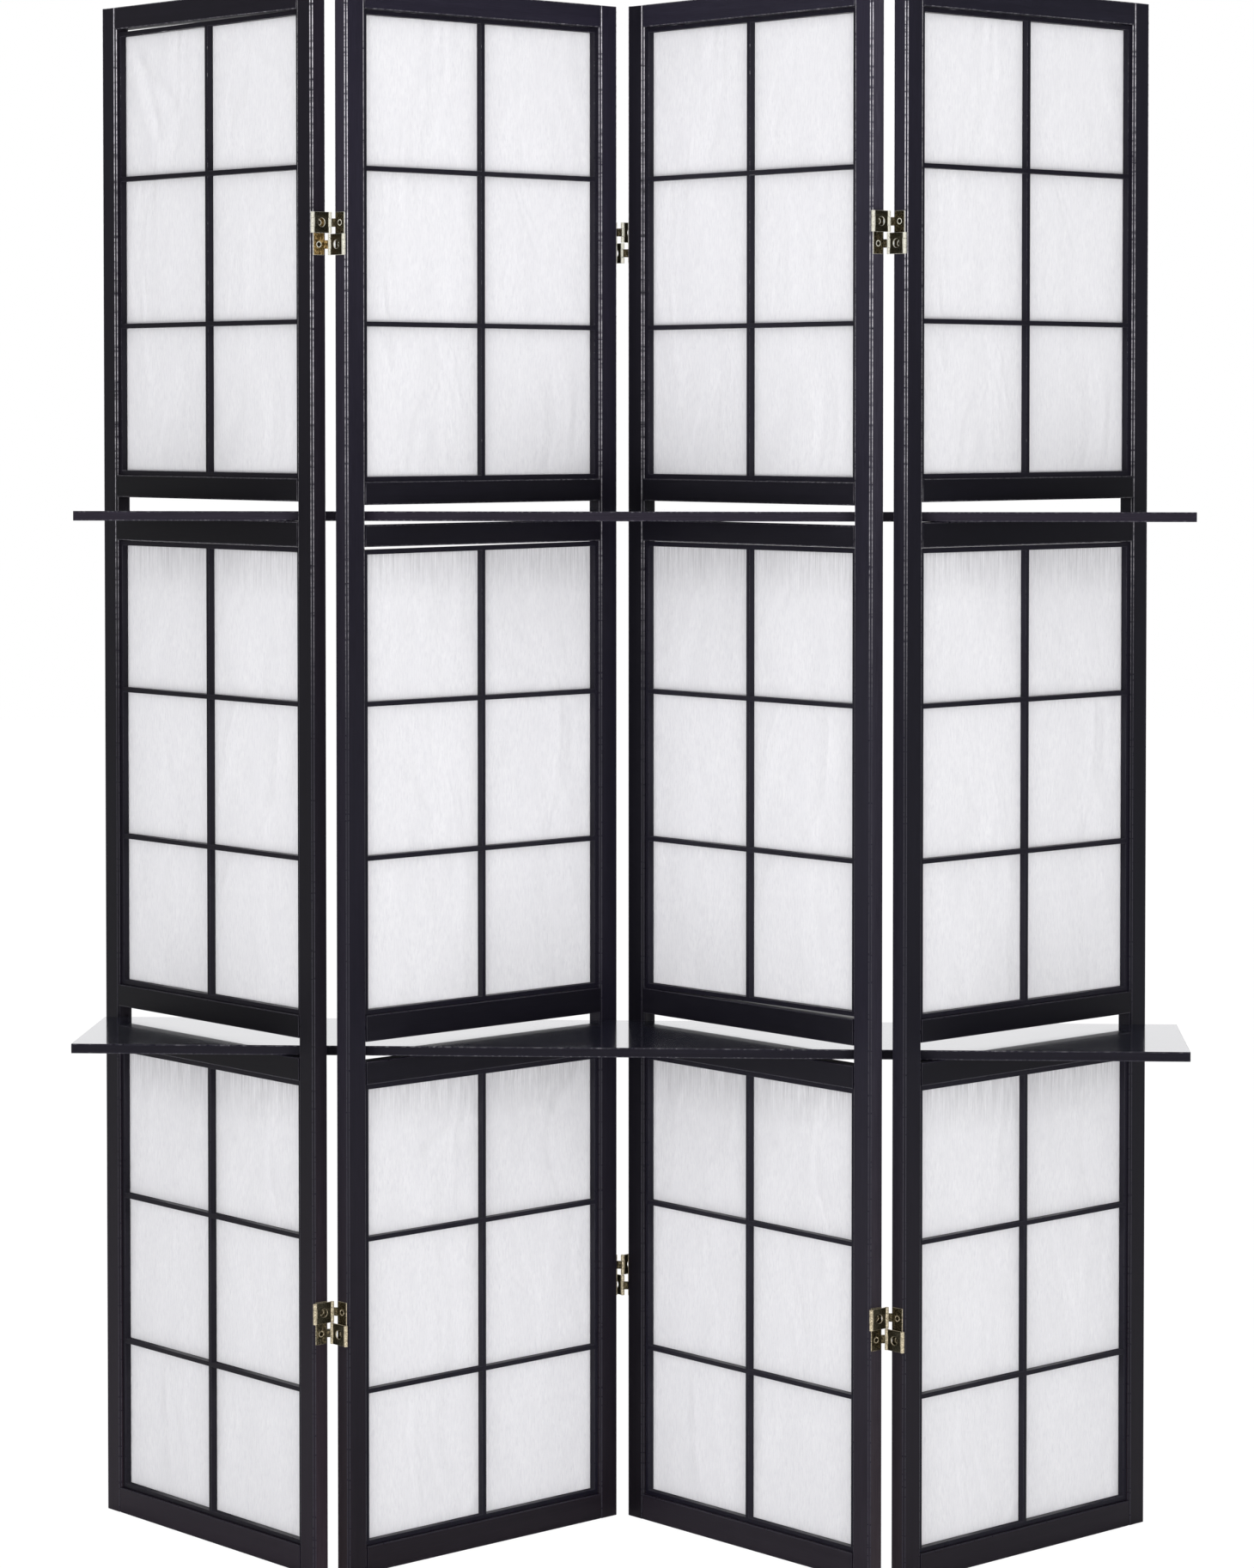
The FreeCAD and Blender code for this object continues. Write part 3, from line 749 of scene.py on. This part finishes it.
HINGE_HEIGHT = 48 * MM
LEAF_THICKNESS = 1.2 * MM
LINK_THICKNESS = 1.4 * MM
BARREL_RADIUS = 2.2 * MM
PIN_RADIUS = 1.1 * MM
PIN_CLEARANCE = 0.05 * MM
PIN_END_INSET = 0.2 * MM
MIDDLE_KNUCKLE = 9.4 * MM
KNUCKLE_GAP = 0.3 * MM
LINK_SEAM = 0.8 * MM
ACCESS_HOLE = 5.0 * MM
SCREW_FROM_CENTRE = 12.2 * MM
SCREW_HEAD_RADIUS = 3.4 * MM
SCREW_HEAD_HEIGHT = 2.0 * MM
SCREW_RADIUS = 1.6 * MM
SCREW_RING = 2.5 * MM
SCREW_LENGTH = 16 * MM
SCREW_EASE = 0.15 * MM
SCREW_TAPER = 0.8
CROSS_SIZE = (4.0 * MM, 1.0 * MM, 2.2 * MM)
PLATE_EASE = 0.18 * MM
BARREL_EASE = 0.25 * MM
PIN_DOME = 0.25 * MM
PIN_SHOULDER = 0.7
SHOULDER_RISE = 0.3
ROUND_SIDES = 28
SCREW_SIDES = 32
FIRST_SCREW_SEED = 100
ROUND_SHADED = math.radians(35)
PLATE_FLAT_ON = 0.98
FRONT_AXIS = -AXIS_BEYOND_FACE
BACK_AXIS = PANEL_THICKNESS + AXIS_BEYOND_FACE
HALF_HEIGHT = (HINGE_HEIGHT - LINK_SEAM) / 2
HALF_OFFSET = (HALF_HEIGHT + LINK_SEAM) / 2

# Turns x, y and z into y, z and x
LAID_DOWN = Matrix(((0, 0, 1, 0), (1, 0, 0, 0), (0, 1, 0, 0), (0, 0, 0, 1)))


def circle(centre, radius, sides=ROUND_SIDES):
    """The points of a circle."""
    turns = [2 * math.pi * k / sides for k in range(sides)]
    return [(centre[0] + radius * math.cos(t), centre[1] + radius * math.sin(t)) for t in turns]


def plate(outline, holes, low_x, high_x):
    """A plate with eased edges, drawn in y and z and as thick as its two x values say."""
    curve = bpy.data.curves.new("plate", "CURVE")
    curve.dimensions = "2D"
    curve.fill_mode = "BOTH"
    for ring in [outline] + holes:
        spline = curve.splines.new("POLY")
        spline.points.add(len(ring) - 1)
        for point, (y, z) in zip(spline.points, ring):
            point.co = (y, z, 0, 1)
        spline.use_cyclic_u = True
    curve.extrude = (high_x - low_x) / 2 - PLATE_EASE
    curve.bevel_depth = PLATE_EASE
    curve.bevel_resolution = 1
    curve.offset = -PLATE_EASE
    drawn = bpy.data.objects.new("plate", curve)
    mesh = bpy.data.meshes.new_from_object(drawn)
    work = bmesh.new()
    work.from_mesh(mesh)
    work.transform(Matrix.Translation(((low_x + high_x) / 2, 0, 0)) @ LAID_DOWN)
    bmesh.ops.remove_doubles(work, verts=work.verts, dist=WELD)
    for face in work.faces:
        face.normal_update()
        face.material_index = BROAD_FACES if abs(face.normal.x) > PLATE_FLAT_ON else SMALL_EDGES
        face.smooth = False
    bpy.data.objects.remove(drawn)
    bpy.data.curves.remove(curve)
    bpy.data.meshes.remove(mesh)
    return work


def turned(profile, axis, closed, material_slot, sides=ROUND_SIDES):
    """A turned solid about the upright line through axis, from (radius, z) pairs."""
    work = bmesh.new()
    rings = []
    for radius, z in profile:
        if radius == 0:
            rings.append([work.verts.new((axis[0], axis[1], z))])
            continue
        rings.append([work.verts.new((x, y, z)) for x, y in circle(axis, radius, sides)])
    pairs = list(zip(rings, rings[1:] + rings[:1])) if closed else list(zip(rings, rings[1:]))
    for low, high in pairs:
        for k in range(sides):
            following = (k + 1) % sides
            if len(low) == 1:
                corners = (low[0], high[following], high[k])
            elif len(high) == 1:
                corners = (low[k], low[following], high[0])
            else:
                corners = (low[k], low[following], high[following], high[k])
            face = work.faces.new(corners)
            face.material_index = material_slot
            face.smooth = True
    bmesh.ops.recalc_face_normals(work, faces=work.faces)
    return work


def barrel(axis, low, high):
    """One knuckle: a short tube with eased ends."""
    inner = PIN_RADIUS + PIN_CLEARANCE
    outer = BARREL_RADIUS - BARREL_EASE
    profile = [(inner, low), (outer, low), (BARREL_RADIUS, low + BARREL_EASE),
               (BARREL_RADIUS, high - BARREL_EASE), (outer, high), (inner, high)]
    return turned(profile, axis, True, SMALL_EDGES)


def rod(axis, low, high):
    """A pin with domed ends."""
    shoulder = PIN_RADIUS * PIN_SHOULDER
    rise = PIN_DOME * SHOULDER_RISE
    profile = [(0, low), (shoulder, low + rise), (PIN_RADIUS, low + PIN_DOME),
               (PIN_RADIUS, high - PIN_DOME), (shoulder, high - rise), (0, high)]
    return turned(profile, axis, False, BROAD_FACES)


def half_span(upper):
    """The lower and upper end of one half of a hinge."""
    centre = HALF_OFFSET if upper else -HALF_OFFSET
    return centre - HALF_HEIGHT / 2, centre + HALF_HEIGHT / 2


def middle_span(upper, growth=0.0):
    """The lower and upper end of the middle knuckle in one half of a hinge."""
    centre = HALF_OFFSET if upper else -HALF_OFFSET
    reach = MIDDLE_KNUCKLE / 2 + growth
    return centre - reach, centre + reach


def bent_neck(axis_y, edge_y, low, high):
    """The strip that leaves the leaf's edge and curls onto the middle knuckle.

    Its outer and inner line are points, first from the leaf's edge and then from the axis.
    """
    away = 1 if axis_y > edge_y else -1

    def from_edge(millimetres):
        return edge_y + away * millimetres * MM

    def from_axis(millimetres):
        return axis_y + away * millimetres * MM

    outer = [(0.0, from_edge(-1.6)), (0.0, from_edge(0.0)), (0.5 * MM, from_edge(1.6)),
             (1.9 * MM, from_edge(3.3)), (AXIS_BEYOND_EDGE - 1.4 * MM, from_axis(1.7)),
             (AXIS_BEYOND_EDGE, axis_y + away * BARREL_RADIUS)]
    inner = [(LEAF_THICKNESS, from_edge(-1.6)), (LEAF_THICKNESS, from_edge(-0.1)),
             (1.6 * MM, from_edge(1.0)), (2.8 * MM, from_edge(2.2)),
             (AXIS_BEYOND_EDGE - 1.0 * MM, from_axis(0.6)), (AXIS_BEYOND_EDGE, from_axis(1.2))]
    ring = outer + inner[::-1]
    work = bmesh.new()
    bottom = [work.verts.new((x, y, low)) for x, y in ring]
    top = [work.verts.new((x, y, high)) for x, y in ring]
    count = len(outer)
    for level in (bottom, top):
        for k in range(count - 1):
            work.faces.new((level[k], level[k + 1], level[2 * count - 2 - k], level[2 * count - 1 - k]))
    for k in range(2 * count):
        following = (k + 1) % (2 * count)
        work.faces.new((bottom[k], bottom[following], top[following], top[k]))
    bmesh.ops.recalc_face_normals(work, faces=work.faces)
    return work


def leaf():
    """A leaf's meshes: the plate, two bent necks and two middle knuckles."""
    front = STILE_CHAMFER
    back = PANEL_THICKNESS - STILE_CHAMFER
    half = HINGE_HEIGHT / 2
    outline = [(front, -half), (back, -half), (back, half), (front, half)]
    holes = [circle((PANEL_THICKNESS / 2, sign * SCREW_FROM_CENTRE), SCREW_HEAD_RADIUS)
             for sign in (-1, 1)]
    parts = [plate(outline, holes, 0.0, LEAF_THICKNESS)]
    for upper, axis_y, edge_y in ((True, FRONT_AXIS, front), (False, BACK_AXIS, back)):
        low, high = middle_span(upper)
        parts.append(bent_neck(axis_y, edge_y, low, high))
        parts.append(barrel((AXIS_BEYOND_EDGE, axis_y), low, high))
    return parts


def link(upper):
    """A link's meshes: the notched plate with its access hole and four outer knuckles."""
    low, high = half_span(upper)
    gap_low, gap_high = middle_span(upper, KNUCKLE_GAP)
    reach = BARREL_RADIUS + KNUCKLE_GAP
    front, back = FRONT_AXIS, BACK_AXIS
    outline = [(front, low), (back, low),
               (back, gap_low), (back - reach, gap_low), (back - reach, gap_high), (back, gap_high),
               (back, high), (front, high),
               (front, gap_high), (front + reach, gap_high), (front + reach, gap_low), (front, gap_low)]
    sign = 1 if upper else -1
    hole = circle((PANEL_THICKNESS / 2, sign * SCREW_FROM_CENTRE), ACCESS_HOLE)
    middle = AXIS_BEYOND_EDGE
    parts = [plate(outline, [hole], middle - LINK_THICKNESS / 2, middle + LINK_THICKNESS / 2)]
    for axis_y in (front, back):
        parts.append(barrel((middle, axis_y), low, gap_low))
        parts.append(barrel((middle, axis_y), gap_high, high))
    return parts


def screw_master():
    """A countersunk screw with a cross recess, lying along x with its head at the leaf's outer face."""
    top = LEAF_THICKNESS
    profile = [(0, top), (SCREW_RING, top), (SCREW_HEAD_RADIUS - SCREW_EASE, top),
               (SCREW_HEAD_RADIUS, top - SCREW_EASE), (SCREW_RADIUS, top - SCREW_HEAD_HEIGHT),
               (SCREW_RADIUS, top - SCREW_LENGTH * SCREW_TAPER), (0, top - SCREW_LENGTH)]
    work = turned(profile, (0, 0), False, BROAD_FACES, SCREW_SIDES)
    for face in work.faces:
        centre = face.calc_center_median()
        if math.hypot(centre.x, centre.y) > SCREW_RING and centre.z > top - SCREW_EASE:
            face.material_index = SMALL_EDGES
    screw = in_scene("screw", mesh_of("screw", work))
    for turn in (0, math.pi / 2):
        cross = bmesh.new()
        bmesh.ops.create_cube(cross, size=1.0)
        cross.transform(Matrix.Translation((0, 0, top)) @ Matrix.Rotation(turn, 4, "Z")
                        @ Matrix.Diagonal((*CROSS_SIZE, 1)))
        cut = screw.modifiers.new("cross", "BOOLEAN")
        cut.operation = "DIFFERENCE"
        cut.solver = "EXACT"
        cut.object = in_scene("cross", mesh_of("cross", cross))
    bpy.context.view_layer.update()
    done = bpy.data.meshes.new_from_object(screw.evaluated_get(bpy.context.evaluated_depsgraph_get()))
    for used in [cut.object for cut in screw.modifiers] + [screw]:
        bpy.data.objects.remove(used)
    done.transform(LAID_DOWN)
    return done


def gathered(name, parts, place, materials, body, node):
    """One piece out of (list of meshes, placement in the edge's frame) pairs."""
    whole = bmesh.new()
    for meshes, step in parts:
        for mesh in meshes:
            kept = mesh_of("part", mesh) if isinstance(mesh, bmesh.types.BMesh) else mesh.copy()
            kept.transform(step)
            whole.from_mesh(kept)
            bpy.data.meshes.remove(kept)
    piece = placed(name, mesh_of(name, whole), place, materials, body, [node])
    piece.data.set_sharp_from_angle(angle=ROUND_SHADED)


def at_levels(make):
    """A part made afresh at the height of each hinge."""
    return [(make(), Matrix.Translation((0, 0, level))) for level in HINGE_LEVELS]


def hinge_side(panel, side, screw_mesh):
    """The leaves and screws of both hinges on one edge of a panel."""
    prefix = "panel_%d_%s" % (panel, side)
    place = edge_place(panel, side)
    # The first panel's leaves take gold wear with a painted reflection
    brass = WORN_AND_LIT_GOLD_BRASS if panel == 1 else LEAF_BRASS
    gathered(prefix + "_leaf_plates", at_levels(leaf), place, [brass, EDGE_BRASS],
             "panel_%d" % panel, prefix + "_leaves")
    heads = []
    rng = np.random.default_rng(FIRST_SCREW_SEED + SEEDS_PER_PANEL * panel + (side == "right"))
    for level in HINGE_LEVELS:
        for sign in (-1, 1):
            spin = Matrix.Rotation(rng.uniform(0, math.pi), 4, "X")
            centre = Matrix.Translation((0, PANEL_THICKNESS / 2, level + sign * SCREW_FROM_CENTRE))
            heads.append(([screw_mesh], centre @ spin))
    gathered(prefix + "_screw_heads", heads, place, [SCREW_BRASS, EDGE_BRASS], "panel_%d" % panel,
             "panel_%d_screws" % panel)


# The links: the node, upper half or not, and the panel edge that they turn with
LINKS = (
    ("left_hinge_upper_links", True, 1, "right"),
    ("left_hinge_lower_links", False, 2, "left"),
    ("centre_hinge_lower_links", False, 2, "right"),
    ("centre_hinge_upper_links", True, 3, "left"),
    ("right_hinge_upper_links", True, 3, "right"),
    ("right_hinge_lower_links", False, 4, "left"),
)


def hinge_links(name, upper, panel, side):
    """The upper or lower links of both hinges on one edge of a panel."""
    gathered(name + "_plates", at_levels(lambda: link(upper)), edge_place(panel, side),
             [PLATE_BRASS, EDGE_BRASS], "panel_%d" % panel, name)


# Short pins: the piece, its body, its node, and each pin's panel edge, upper half or not, and axis
PINS = (
    ("panel_1_pins", "panel_1", "panel_1_hinge_pins", [((1, "right"), True, FRONT_AXIS)]),
    ("panel_2_pins", "panel_2", "panel_2_hinge_pins", [
        ((2, "left"), False, BACK_AXIS), ((2, "left"), True, FRONT_AXIS),
        ((2, "left"), False, FRONT_AXIS), ((2, "right"), False, BACK_AXIS)]),
    ("panel_3_pins", "panel_3", "panel_3_hinge_pins", [
        ((3, "left"), True, FRONT_AXIS), ((3, "right"), True, FRONT_AXIS)]),
    ("panel_4_pins", "panel_4", "panel_4_hinge_pins", [
        ((4, "left"), False, BACK_AXIS), ((4, "left"), True, FRONT_AXIS),
        ((4, "left"), False, FRONT_AXIS)]),
    ("turning_pins", "centre_pins", "centre_hinge_pins", [
        ((2, "right"), True, FRONT_AXIS), ((2, "right"), False, FRONT_AXIS)]),
)


def pins(name, places, body, node):
    """The pins of one body, as one piece."""
    parts = []
    for (panel, side), upper, axis_y in places:
        low, high = half_span(upper)
        for level in HINGE_LEVELS:
            parts.append(([rod((AXIS_BEYOND_EDGE, axis_y), low + PIN_END_INSET, high - PIN_END_INSET)],
                          edge_place(panel, side) @ Matrix.Translation((0, 0, level))))
    gathered(name, parts, Matrix.Identity(4), [PIN_STEEL], body, node)


def hinges():
    """All leaves, screws, links and pins, each on the body that it turns with."""
    screw_mesh = screw_master()
    for panel in PANELS:
        if panel > 1:
            hinge_side(panel, "left", screw_mesh)
        if panel < len(PANELS):
            hinge_side(panel, "right", screw_mesh)
    bpy.data.meshes.remove(screw_mesh)
    for name, upper, panel, side in LINKS:
        hinge_links(name, upper, panel, side)
    for name, body, node, places in PINS:
        pins(name, places, body, node)


# Floor, light and camera

WHITE = (1.0, 1.0, 1.0)
FLOOR_RADIUS = 14.0
FLOOR_SIDES = 96
FLOOR_DEEP = (0.78, 0.78, 0.785)
FLOOR_LIGHT = (0.80, 0.80, 0.80)
GLOW_STRENGTH = 1.08
GLOW_SHARE = 0.90

# The room's light, by how far a direction points backwards (y) or upwards (z)
ROOM_TINT = (0.985, 0.985, 1.0)
ROOM_LEVEL = 0.50
FRONT_LEVEL = 1.33
FRONT_FADES = (-0.95, -0.10)
ABOVE_SHARE = 0.45
ABOVE_FADES = (0.12, 0.60)
BEHIND_LEVEL = 1.05
BEHIND_GROWS = (0.10, 0.60)

# What gloss mirrors instead of it
ROOM_GLOSS_LEVEL = 0.10
BACKDROP_LEVEL = 1.1
BACKDROP_GROWS = (0.25, 0.70)

# Lamps: name, place, width, height, radiance, and whether gloss mirrors the lamp
LAMPS_FACE = Vector((0, 0, 0.9))
SOFT_BOXES = (
    ("front_left", (-2.1, -4.0, 0.8), 0.9, 1.6, 2.6, True),
    ("front_right", (2.3, -3.9, 0.8), 0.9, 1.6, 2.4, True),
    ("front_low", (0.1, -4.4, 0.62), 4.4, 1.1, 6.2, False),
    ("overhead", (0.3, -1.6, 4.2), 3.0, 2.2, 0.5, True),
)


def floor():
    """A plain pale floor that the camera sees as white, apart from the screen's soft shadow."""
    nodes = Surface("floor_white")
    grain = nodes.noise(scale=30.0, detail=3.0)
    nodes.colour(nodes.ramp(grain, zip(MID_NOISE, (FLOOR_DEEP, FLOOR_LIGHT))))
    nodes.fixed(Roughness=0.9, Specular_IOR_Level=0.0)
    glow = nodes.new("Emission")
    glow.inputs["Color"].default_value = (*WHITE, 1.0)
    glow.inputs["Strength"].default_value = GLOW_STRENGTH
    share = nodes.scaled(nodes.ray("Camera"), (0.0, 1.0), (0.0, GLOW_SHARE))
    nodes.finished("Material Output", nodes.mixed(share, nodes.shader.outputs[0], glow.outputs[0]))
    disc = bmesh.new()
    bmesh.ops.create_circle(disc, cap_ends=True, radius=FLOOR_RADIUS, segments=FLOOR_SIDES)
    piece = in_scene("floor", mesh_of("floor", disc))
    piece.data.materials.append(nodes.material)


def room_light(nodes, strength):
    """A background of the room's tint, as strong as a value says."""
    node = nodes.new("Background")
    node.inputs["Color"].default_value = (*ROOM_TINT, 1.0)
    nodes.link(strength, node.inputs["Strength"])
    return node.outputs[0]


def surroundings():
    """White to the camera; for light, a broad soft front, and a bright backdrop that gloss mirrors."""
    world = bpy.data.worlds.new("studio")
    bpy.context.scene.world = world
    world.use_nodes = True
    nodes = Nodes(world.node_tree)
    seen = world.node_tree.nodes["Background"]
    seen.inputs["Color"].default_value = (*WHITE, 1.0)
    direction = nodes.new("TexCoord").outputs["Generated"]
    backwards = nodes.part(direction, "Y")
    upwards = nodes.part(direction, "Z")
    front = nodes.scaled(backwards, FRONT_FADES, (FRONT_LEVEL, ROOM_LEVEL), smooth=True)
    above = nodes.scaled(upwards, ABOVE_FADES, (1.0, ABOVE_SHARE))
    behind = nodes.scaled(backwards, BEHIND_GROWS, (0.0, BEHIND_LEVEL))
    lit = nodes.combined("ADD", nodes.combined("MULTIPLY", front, above), behind)
    mirrored = nodes.scaled(backwards, BACKDROP_GROWS, (ROOM_GLOSS_LEVEL, BACKDROP_LEVEL), smooth=True)
    room = nodes.mixed(nodes.ray("Glossy"), room_light(nodes, lit), room_light(nodes, mirrored))
    nodes.finished("World Output", nodes.mixed(nodes.ray("Camera"), room, seen.outputs[0]))


def soft_box(name, place, width, height, radiance, mirrored):
    """A rectangular lamp of a given radiance that faces the screen."""
    light = bpy.data.lights.new(name, "AREA")
    light.shape = "RECTANGLE"
    light.size = width
    light.size_y = height
    light.energy = radiance * math.pi * width * height
    lamp = in_scene(name, light)
    lamp.location = place
    lamp.rotation_euler = (LAMPS_FACE - Vector(place)).to_track_quat("-Z", "Y").to_euler()
    lamp.visible_glossy = mirrored


def camera():
    """The photograph's camera, as it was fitted."""
    data = bpy.data.cameras.new("camera")
    data.sensor_width = SENSOR
    data.lens = FOCAL_PIXELS / FRAME_LONG_SIDE * SENSOR
    data.shift_y = CAMERA_SHIFT
    data.clip_end = FARTHEST_SEEN
    view = in_scene("camera", data)
    view.location = CAMERA_PLACE
    view.rotation_euler = (math.pi / 2 - CAMERA_PITCH, 0, CAMERA_YAW)
    bpy.context.scene.camera = view


camera()
surroundings()
floor()
for lamp_values in SOFT_BOXES:
    soft_box(*lamp_values)
for panel_number in PANELS:
    panel_wood(panel_number)
    for sheet_section in SECTIONS:
        paper_sheet(panel_number, sheet_section)
hinges()
for shelf, shelf_materials in SHELF_WOOD.items():
    wood(shelf, Matrix.Identity(4), SHELF_EASE, shelf_materials, shelf,
         third=lambda normal: normal.z > SQUARE_ON)
bpy.context.scene.view_settings.view_transform = "Standard"
